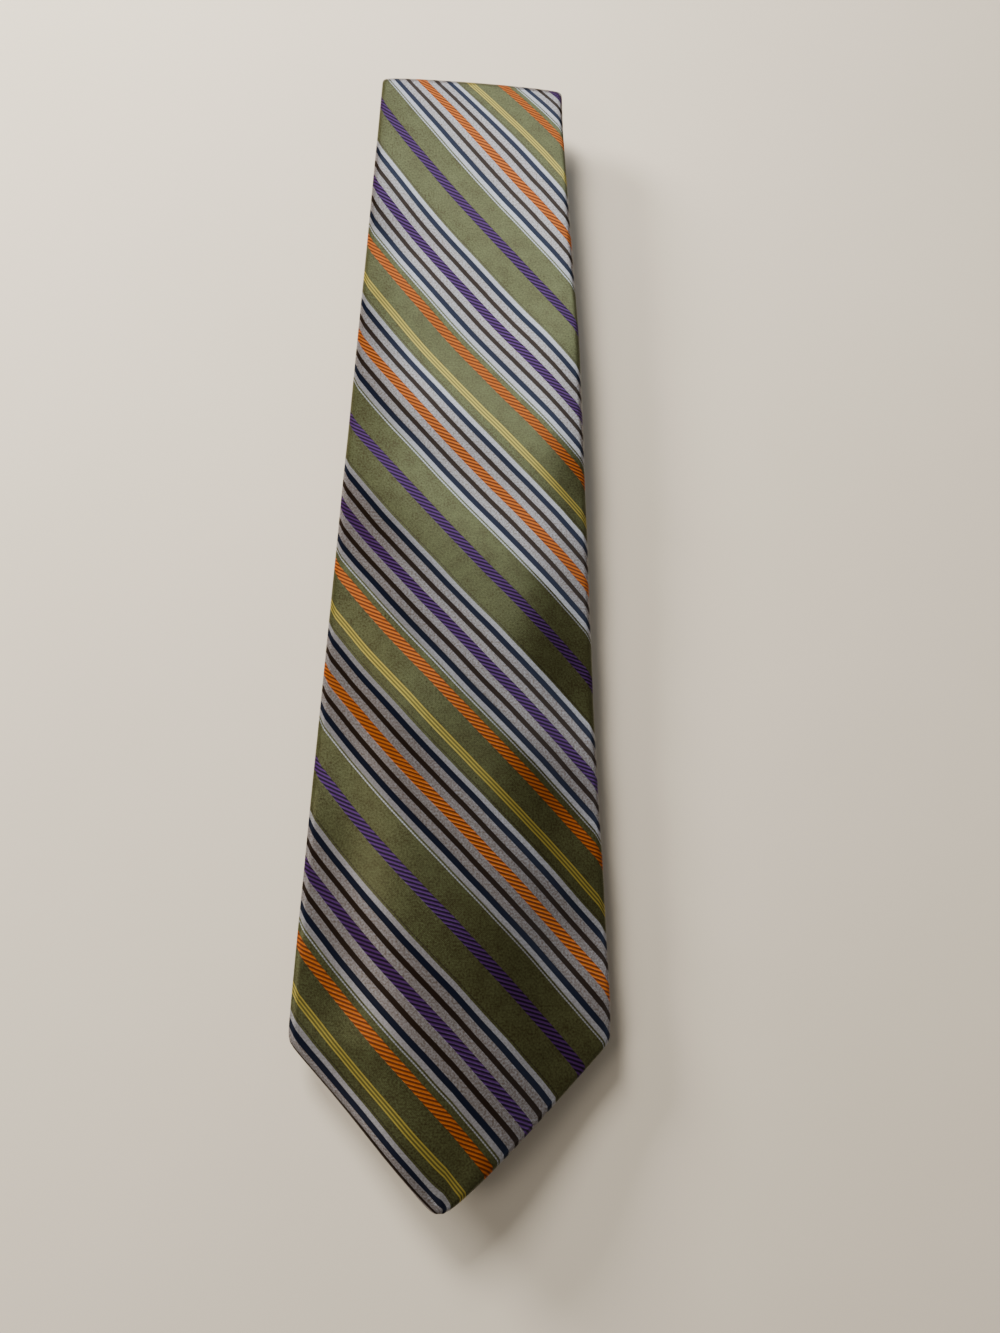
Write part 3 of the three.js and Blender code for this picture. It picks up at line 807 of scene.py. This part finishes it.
def spun_thread(name, dark, light):
    """Two-ply sewing thread."""
    m = Shading(name, 0.55, metallic=0.1, specular=0.5, sheen=0.2)
    place_node = m.tree.nodes.new("ShaderNodeTexCoord")
    size = m.node("Mapping", place_node.outputs["Object"], (0, 0, 0), (0, 0, 0.6), (2200, 2200, 2200))
    plies = m.node("TexWave", size, 1.0, 2.0, 2.0, output=1)
    m.set(m.shader, "Base Color", m.colour(plies, dark, light))
    m.bump(plies, 0.5, 0.00006)
    return m.material


def floor_paint():
    """Pale, faintly mottled painted board."""
    m = Shading("floor", 0.62, specular=0.3)
    where = m.tree.nodes.new("ShaderNodeTexCoord").outputs["Object"]
    mottle = m.noise(where, 6.0, 4.0, 0.55)
    fine = m.noise(where, 260.0, 3.0, 0.6)
    m.set(m.shader, "Base Color", m.colour(mottle, srgb(216, 208, 192), srgb(228, 220, 206)))
    m.bump(m.add(mottle, m.math("MULTIPLY", fine, 0.05)), 0.12, 0.002)
    return m.material


SILK_CLOTH = striped_silk()
WOOL = wool_cloth()
TIPPING_SATIN = satin("tipping_satin", srgb(70, 72, 46), srgb(112, 114, 78))
TAG_SATIN = satin("care_tag_satin", srgb(206, 200, 188), srgb(238, 235, 226), period=0.45, metallic=0.05)
LABEL_CLOTH = label_cloth()
SAGE_THREAD = spun_thread("sage_thread", srgb(92, 92, 60), srgb(146, 146, 104))
TAG_THREAD = spun_thread("tag_thread", srgb(188, 182, 168), srgb(232, 228, 216))

# ---------- pieces ----------


def finish_piece(piece, nodes, slot, body=None, blend=None):
    """Hides the CAD parts that a piece stands for, and ties it to the body it moves with, or else bakes in
    its place. blend, which is (lower body, upper body, fold), is not used.
    """
    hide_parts(*nodes)
    if body:
        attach(piece, body)
    else:
        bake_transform(piece)
    return piece


def declare(piece, with_pieces=()):
    """Drops the flat size that was noted on a cloth."""
    del piece["flat"]


def forget_size(piece):
    """Drops the flat size noted on a cloth that lies beside another, and gives the cloth back."""
    del piece["flat"]
    return piece


def spaced(start, end, step):
    return np.linspace(start, end, max(2, round((end - start) / step) + 1))


def fold_rows(start, end):
    """Sections round a fold. Its middle has none, so that one flat strip spans the hinge."""
    first = np.linspace(0, 1 - FLAT_SHARE, FOLD_ROWS) * (end - start) / 2
    return np.concatenate([start + first, end - first[::-1]])


def towards_tip(length):
    """Distances from a tip, close together near it."""
    near = [0, 0.08, 0.25, 0.5, 0.85, 1.3, 1.9, 2.7, 3.7, 5]
    return np.concatenate([near, spaced(6.5, length, 1.6)])


TOP_BEND = ("second_quarter", "wide_blade", TOP)
FOOT_BEND = ("neck_quarter", "second_quarter", FOOT)
TAIL_BEND = ("tail", "neck_quarter", TAIL_FOLD)
TOP_FOLD_ROWS = fold_rows(BLADE_END, SECOND_START)
FOOT_FOLD_ROWS = fold_rows(SECOND_END, NECK_START)
TAIL_FOLD_ROWS = fold_rows(NECK_END, TAIL_START)

# silk
SEAM_HALF = 0.18
GUSSET_SHIFT, TAIL_SHIFT = 31.0, 17.0  # the pieced lengths don't match at their seams


def seam_place(node):
    """Where a piecing seam crosses the middle of the tie."""
    low, high = box_mm(node)
    return NECK_START + (low[1] + high[1]) / 2 - FOOT["y"]


BLADE_SEAM = seam_place("blade_piecing_seam")
TAIL_SEAM = seam_place("tail_piecing_seam")


def silk_piece(name, s, node, shift=0.0, slants=None, **moves):
    piece = silk(name, s, SILK_CLOTH, slants, shift)
    return finish_piece(piece, [node], "striped_silk", **moves)


def pieced(name, node, start, end, lean_start, lean_end, shift):
    """A length of the neck quarter's silk. A section leans fully at a seam, and less away from it."""
    s = spaced(start, end, 4)
    share = (s - start) / (end - start)
    slants = lean_start * (1 - fade(share, 0, 1)) + lean_end * fade(share, 0, 1)
    return silk_piece(name, s, node, shift, slants, body="neck_quarter")


blade_s = np.concatenate([towards_tip(96), spaced(98, BLADE_END, 2.5)])
silk_blade = silk_piece("silk_blade", blade_s, "blade_shell", body="wide_blade")
silk_top_fold = silk_piece("silk_top_fold", TOP_FOLD_ROWS, "top_fold_shell", blend=TOP_BEND)
second_s = spaced(SECOND_START, SECOND_END, 4)
silk_second = silk_piece("silk_second_quarter", second_s, "second_quarter_shell", body="second_quarter")
silk_foot = silk_piece("silk_lower_fold", FOOT_FOLD_ROWS, "lower_fold_shell", blend=FOOT_BEND)
cut = (BLADE_SEAM - SEAM_HALF, BLADE_SEAM + SEAM_HALF, TAIL_SEAM - SEAM_HALF, TAIL_SEAM + SEAM_HALF)
silk_blade_neck = pieced("silk_blade_neck", "blade_neck_shell", NECK_START, cut[0], 0, 1, 0.0)
silk_gusset = pieced("silk_gusset", "neck_gusset", cut[1], cut[2], 1, 1, GUSSET_SHIFT)
silk_tail_neck = pieced("silk_tail_neck", "tail_neck_shell", cut[3], NECK_END, 1, 0, TAIL_SHIFT)
silk_tail_fold = silk_piece("silk_tail_fold", TAIL_FOLD_ROWS, "tail_fold_shell", TAIL_SHIFT, blend=TAIL_BEND)
tail_s = np.concatenate([spaced(TAIL_START, TIE_LENGTH - 61, 4), TIE_LENGTH - towards_tip(60)[::-1]])
silk_tail = silk_piece("silk_tail", tail_s, "tail_shell", TAIL_SHIFT, body="tail")

# interlining and tipping
LINING_INSET = PANEL / 2 + 0.5
UNDER_SILK = SILK + CLEAR
OVER_FLAPS = PANEL - SILK - CLEAR
UNDER_TIPPING = OVER_FLAPS - TIPPING - CLEAR
LINING_TIP = 4
TIPPING_OVERLAP = 14


def lining(name, s, depths, material, node, slot, **moves):
    """A cloth inside the silk, between two depths."""
    piece = layer(name, s, half_width(s) - LINING_INSET, *depths, material)
    return finish_piece(piece, [node], slot, **moves)


def wool(name, s, node, depth=OVER_FLAPS, **moves):
    return lining(name, s, (UNDER_SILK, depth), WOOL, node, "wool_interlining", **moves)


def tipping(name, s, node, body):
    depths = (OVER_FLAPS - TIPPING, OVER_FLAPS)
    return lining(name, s, depths, TIPPING_SATIN, node, "tipping_satin", body=body)


blade_s = spaced(LINING_TIP, BLADE_END, 3)
second_s = spaced(SECOND_START, SECOND_END, 5)
neck_s = spaced(NECK_START, NECK_END, 5)
tail_s = spaced(TAIL_START, TIE_LENGTH - LINING_TIP, 3)
wool_blade = wool("wool_blade", blade_s, "blade_interlining", UNDER_TIPPING, body="wide_blade")
wool_second = wool("wool_second_quarter", second_s, "second_quarter_interlining", body="second_quarter")
wool_neck = wool("wool_neck", neck_s, "neck_interlining", body="neck_quarter")
wool_tail = wool("wool_tail", tail_s, "tail_interlining", UNDER_TIPPING, body="tail")
wool_top_fold = wool("wool_top_fold", TOP_FOLD_ROWS, "top_fold_interlining", blend=TOP_BEND)
wool_foot = wool("wool_lower_fold", FOOT_FOLD_ROWS, "lower_fold_interlining", blend=FOOT_BEND)
wool_tail_fold = wool("wool_tail_fold", TAIL_FOLD_ROWS, "tail_fold_interlining", blend=TAIL_BEND)

blade_s = spaced(LINING_TIP, BLADE_TACK + TIPPING_OVERLAP, 2)
tail_s = spaced(TIE_LENGTH - TAIL_TACK - TIPPING_OVERLAP, TIE_LENGTH - LINING_TIP, 2)
tipping_blade = tipping("tipping_blade", blade_s, "blade_tipping", "wide_blade")
tipping_tail = tipping("tipping_tail", tail_s, "tail_tipping", "tail")

# stitching
THREAD_RADIUS = 0.16
FINE_THREAD_RADIUS = 0.13
SLIP_PITCH = 6.5
SLIP_HALF, SLIP_SLANT = 0.9, 1.6
TACK_WIDTH, TACK_WRAPS = 9.4, 24
SEAM_PITCH, SEAM_STITCH = 2.4, 1.9


def on_back(x, s, raised):
    """A point raised above the silk's back."""
    return place(x, s, PANEL + raised)


def stitching(name, node, lines, body, radius=FINE_THREAD_RADIUS, thread=SAGE_THREAD, sides=6):
    piece = threads(name, lines, radius, thread, sides)
    return finish_piece(piece, [node], "sage_thread", body=body)


def slip_stitch(part, start, end, body):
    """Small slanting stitches across the slit down the middle of the back, dipping into it at both ends."""
    t = np.linspace(0, 1, 9)
    lines = []
    for s in spaced(start, end, SLIP_PITCH):
        raised = 0.3 * np.sin(math.pi * t) - 0.16
        lines.append(on_back(SLIP_HALF * (2 * t - 1), s + SLIP_SLANT * t, raised))
    stitching("slip_stitch_" + part, part + "_slip_stitch", lines, body, THREAD_RADIUS, sides=8)


slip_stitch("blade", BLADE_TACK + 5, BLADE_END - 6, "wide_blade")
slip_stitch("second_quarter", SECOND_START + 6, SECOND_END - 6, "second_quarter")
slip_stitch("neck", BLADE_SEAM + 6, TAIL_SEAM - 6, "neck_quarter")
slip_stitch("tail", TAIL_START + 6, TIE_LENGTH - TAIL_TACK - 6, "tail")


def bar_tack(name, node, s, body):
    """Long core threads across the tie, wrapped closely round with the same thread."""
    lines = []
    for offset in (-0.35, 0.0, 0.35):
        x = np.linspace(-TACK_WIDTH / 2, TACK_WIDTH / 2, 25)
        lines.append(on_back(x, np.full(25, s + offset), 0.22 - 0.3 * (np.abs(x) > TACK_WIDTH / 2 - 0.3)))
    for x in np.linspace(-TACK_WIDTH / 2 + 0.3, TACK_WIDTH / 2 - 0.3, TACK_WRAPS):
        turn = np.linspace(0, math.pi, 9)
        lines.append(on_back(x + 0.1 * np.cos(turn), s - 0.62 * np.cos(turn), 0.02 + 0.42 * np.sin(turn)))
    stitching(name, node, lines, body, THREAD_RADIUS)


bar_tack("bar_tack_blade", "blade_bar_tack", BLADE_TACK, "wide_blade")
bar_tack("bar_tack_tail", "tail_bar_tack", TIE_LENGTH - TAIL_TACK, "tail")


def piecing_seam(name, node, seam):
    """The thread that shows in a bias seam, a chain of small stitches across the face."""
    reach = half_width(seam) - 2.5
    t = np.linspace(0, 1, 7)
    lines = []
    for x in np.arange(-reach, reach, SEAM_PITCH):
        depth = 0.14 + 0.25 * (1 - np.sin(math.pi * t))
        lines.append(place(x + SEAM_STITCH * t, seam + x + SEAM_STITCH * t, depth))
    stitching(name, node, lines, "neck_quarter")


piecing_seam("piecing_seam_blade", "blade_piecing_seam", BLADE_SEAM)
piecing_seam("piecing_seam_tail", "tail_piecing_seam", TAIL_SEAM)


def hem_stitches(name, tack, shoulder, along, body):
    """Felling stitches that hold the tipping to the hems behind a point."""
    t = np.linspace(0, 1, 7)
    raised = -0.5 + 0.62 * fade(t, 0.2, 0.75) - 0.3 * fade(t, 0.85, 1)
    lines = []
    for from_tip in spaced(shoulder * 0.35, tack - 4, 4.5):
        s = along(from_tip)
        for side in (-1, 1):
            x = side * (half_opening(s) - 0.9 + 1.8 * t)
            lines.append(on_back(x, np.full(7, s), raised))
    piece = threads(name, lines, 0.12, SAGE_THREAD, sides=6)
    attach(piece, body)


hem_stitches("hem_stitches_blade", BLADE_TACK, POINT_HEIGHT, lambda d: d, "wide_blade")
hem_stitches("hem_stitches_tail", TAIL_TACK, TAIL_POINT_HEIGHT, lambda d: TIE_LENGTH - d, "tail")


# keeper loop, label and care tag
PATCH_ROWS = 21


def patch(name, middle_s, size, raised, thick, material, bulge=0.0, columns=41):
    """A small cloth across the back, with softly rounded edges, raised by a height that may vary with x."""
    width, length = size
    across = np.linspace(-width / 2, width / 2, columns)[None]
    down = np.linspace(middle_s - length / 2, middle_s + length / 2, PATCH_ROWS)[:, None]
    edge = np.minimum(width / 2 - np.abs(across), length / 2 - np.abs(down - middle_s))
    body = np.sqrt(np.clip(1 - (1 - np.clip(edge / thick, 0, 1)) ** 2, 0.02, 1))
    puff = bulge * np.sin(math.pi * ((down - middle_s) / length + 0.5))
    centre = raised(across) + thick / 2 + puff
    upper = on_back(across, down, centre - thick / 2 * body)
    lower = on_back(across, down, centre + thick / 2 * body)
    grid_x, grid_s = np.broadcast_arrays(across, down)
    cloth = np.stack([grid_x, grid_s, np.zeros_like(grid_x)], -1)
    made = sandwich(name, upper, lower, material, cloth)
    made["flat"] = [width * MM, length * MM, width * length * MM * MM]
    return made


def keeper_rise(x):
    """The loop stands off the back between its sewn ends."""
    return 0.3 + 1.0 * fade(KEEPER_WIDTH / 2 - KEEPER_TAB - np.abs(x), 0, 3.0)


def label_rise(x):
    return 0.25 + 0.15 * (1 - (x / (LABEL_WIDTH / 2)) ** 2)


def tag_rise(x):
    return np.full_like(x, 0.3)


def keeper_stitches(hand, side):
    """The stitches through one end of the keeper loop."""
    x = side * (KEEPER_WIDTH - KEEPER_TAB) / 2
    t = np.linspace(0, 1, 7)
    lines = []
    for s in np.linspace(KEEPER_S - 4.6, KEEPER_S + 4.6, 7):
        lines.append(on_back(x - 0.35 + 0.7 * t, s - 0.5 + t, 0.5 + 0.42 * np.sin(math.pi * t)))
    stitching("keeper_stitches_" + hand, "keeper_stitch_" + hand, lines, "wide_blade", 0.14)


def label_cross(number, side_x, side_s):
    """A cross-stitch at one corner of the label."""
    x, s = side_x * (LABEL_WIDTH / 2 - 1.6), LABEL_S + side_s * (LABEL_HEIGHT / 2 - 1.6)
    t = np.linspace(0, 1, 9)
    lines = []
    for lean in (-1, 1):
        lines.append(on_back(x - 1.2 + 2.4 * t, s + lean * (1.2 * t - 0.6), 0.42 + 0.4 * np.sin(math.pi * t)))
    stitching(f"label_cross_{number}", f"label_stitch_{number}", lines, "wide_blade", 0.15)


def tag_stitches():
    """One row of stitches along the tag's upper end."""
    s = TAG_S - TAG_HEIGHT / 2 + 2
    t = np.linspace(0, 1, 7)
    lines = []
    for x in np.linspace(-7.5, 7.5, 8):
        lines.append(on_back(x - 0.8 + 1.6 * t, np.full(7, s), 0.45 + 0.38 * np.sin(math.pi * t)))
    stitching("tag_stitches", "care_tag_stitch", lines, "tail", thread=TAG_THREAD)


TAG_S = TIE_LENGTH - TAG_FROM_TIP
keeper = patch("keeper", KEEPER_S, (KEEPER_WIDTH, KEEPER_HEIGHT), keeper_rise, 0.4, SILK_CLOTH, columns=61)
finish_piece(keeper, ["keeper_loop"], "striped_silk", body="wide_blade")
keeper_stitches("left", -1)
keeper_stitches("right", 1)
woven_label = patch("label", LABEL_S, (LABEL_WIDTH, LABEL_HEIGHT), label_rise, 0.3, LABEL_CLOTH)
finish_piece(woven_label, ["woven_label"], "label_satin", body="wide_blade")
for number, corner in enumerate(((-1, -1), (-1, 1), (1, -1), (1, 1)), start=1):
    label_cross(number, *corner)
tag = patch("tag", TAG_S, (TAG_WIDTH, TAG_HEIGHT), tag_rise, 0.3, TAG_SATIN, bulge=0.12)
finish_piece(tag, ["care_tag"], "care_tag_satin", body="tail")
tag_stitches()

# every piece of cloth, whose noted flat size is dropped again
declare(silk_blade, [forget_size(silk_top_fold)])
declare(silk_second)
declare(silk_blade_neck, [forget_size(silk_foot)])
declare(silk_gusset)
declare(silk_tail_neck, [forget_size(silk_tail_fold)])
declare(silk_tail)
declare(wool_blade, [forget_size(wool_top_fold)])
declare(wool_second, [forget_size(wool_foot)])
declare(wool_neck, [forget_size(wool_tail_fold)])
declare(wool_tail)
declare(tipping_blade)
declare(tipping_tail)
declare(keeper)
declare(woven_label)
declare(tag)

# ---------- floor, light and camera ----------


def add_floor():
    half = 3.0
    corners = [(-half, -half, 0), (half, -half, 0), (half, half, 0), (-half, half, 0)]
    mesh = bpy.data.meshes.new("floor")
    mesh.from_pydata(corners, [], [(0, 1, 2, 3)])
    mesh.materials.append(floor_paint())
    made = bpy.data.objects.new("floor", mesh)
    bpy.context.scene.collection.objects.link(made)


def softbox(name, position, target, size, power, colour, in_satin=True, on_matte=True):
    """A rectangular light. Some show only as a sheen in the satin, and some light only what is matte."""
    lamp = bpy.data.lights.new(name, "AREA")
    lamp.shape = "RECTANGLE"
    lamp.size, lamp.size_y = size
    lamp.energy = power
    lamp.color = colour
    made = bpy.data.objects.new(name, lamp)
    made.location = position
    made.visible_glossy = in_satin
    made.visible_diffuse = on_matte
    made.rotation_mode = "QUATERNION"
    made.rotation_quaternion = (Vector(target) - Vector(position)).to_track_quat("-Z", "Y")
    bpy.context.scene.collection.objects.link(made)


def add_lights():
    daylight, warm = (0.88, 0.96, 1.0), (1.0, 0.93, 0.84)
    softbox("lamp", (-0.75, -0.2, 0.75), (0, 0, 0), (0.35, 0.35), 2.5, (1.0, 0.92, 0.82))
    softbox("window", (0.23, 0.61, 0.85), (0, 0, 0), (0.6, 0.6), 7.8, daylight, on_matte=False)
    softbox("far_window", (-0.15, 1.08, 0.8), (0, 0.1, 0), (0.5, 0.5), 6.2, daylight, on_matte=False)
    softbox("ceiling", (-0.4, 0.75, 0.6), (0, 0.15, 0), (0.3, 0.3), 16.5, warm, in_satin=False)
    softbox("low", (-0.8, 0.62, 0.3), (0, 0.05, 0), (0.35, 0.2), 25, warm, in_satin=False)
    world = bpy.data.worlds.new("studio")
    bpy.context.scene.world = world
    world.use_nodes = True
    background = world.node_tree.nodes["Background"]
    background.inputs[0].default_value = (0.82, 0.75, 0.66, 1)
    background.inputs[1].default_value = 0.22


# The camera looks down on the tie from its lower left, tilted a little up the tie and to the right.
CAMERA_X, CAMERA_FROM_TIP, CAMERA_ABOVE = -26.65, 100.3, 318.1
CAMERA_PITCH, CAMERA_YAW, CAMERA_ROLL = math.radians(10.72), math.radians(-7.18), math.radians(1.17)
CAMERA_LENS = 27.53


def add_camera():
    data = bpy.data.cameras.new("camera")
    data.lens = CAMERA_LENS
    data.sensor_width = 36
    data.clip_start = 0.01
    made = bpy.data.objects.new("camera", data)
    turn = (
        Matrix.Rotation(CAMERA_ROLL, 4, "Z")
        @ Matrix.Rotation(CAMERA_YAW, 4, "Y")
        @ Matrix.Rotation(CAMERA_PITCH, 4, "X")
    )
    where = (CAMERA_X * MM, (blade_low[1] + CAMERA_FROM_TIP) * MM, (blade_high[2] + CAMERA_ABOVE) * MM)
    made.matrix_world = Matrix.Translation(where) @ turn
    bpy.context.scene.collection.objects.link(made)
    bpy.context.scene.camera = made


add_floor()
add_lights()
add_camera()
